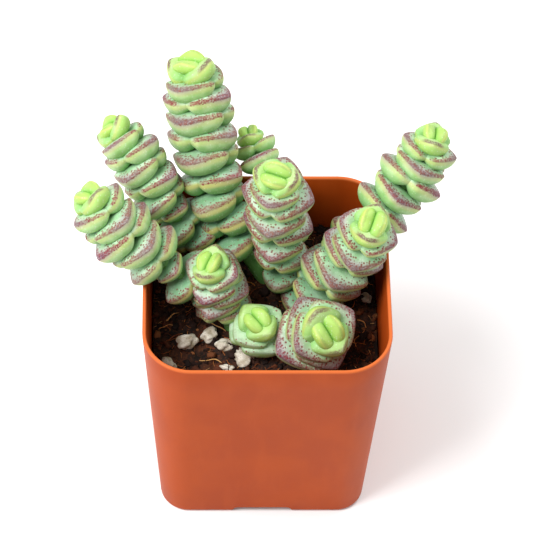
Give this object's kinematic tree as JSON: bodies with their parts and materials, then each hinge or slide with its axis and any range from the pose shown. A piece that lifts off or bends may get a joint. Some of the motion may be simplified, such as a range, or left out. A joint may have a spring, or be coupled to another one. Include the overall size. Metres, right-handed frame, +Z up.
{
  "type": "potted baby necklace crassula",
  "caption": "Small square nursery pot of soil and pale stones with upright and leaning succulent stems, each a stack of thick boat-shaped leaf pairs that closes into a bud.",
  "frame": {"origin": "middle of the pot's underside, at the level that the pot stands on", "axes": "+Z up, the pot's front faces -Y, +X to the right as seen from the front"},
  "size_m": [0.0835, 0.069, 0.0954],
  "materials": {
    "pot": "satin terracotta-coloured plastic",
    "soil": "loose damp potting mix with coir fibres",
    "stone": "rough pumice",
    "leaf": "waxy bloom, red along the margins"
  },
  "bodies": {
    "root": {"pot": "pot", "soil": "soil", "stone_large": "stone", "stone_front_left": "stone", "stone_under_left": "stone", "stone_under_middle": "stone", "stone_front_flat": "stone", "stone_front_middle": "stone", "stone_front_small": "stone", "stone_right": "stone", "stem_tall_back": "leaf", "stem_small_back": "leaf", "stem_left_upper": "leaf", "stem_left_lower": "leaf", "stem_front_left": "leaf", "stem_small_front": "leaf", "stem_front_right": "leaf", "stem_middle": "leaf", "stem_right_front": "leaf", "stem_right_back": "leaf"}
  },
  "joints": []
}
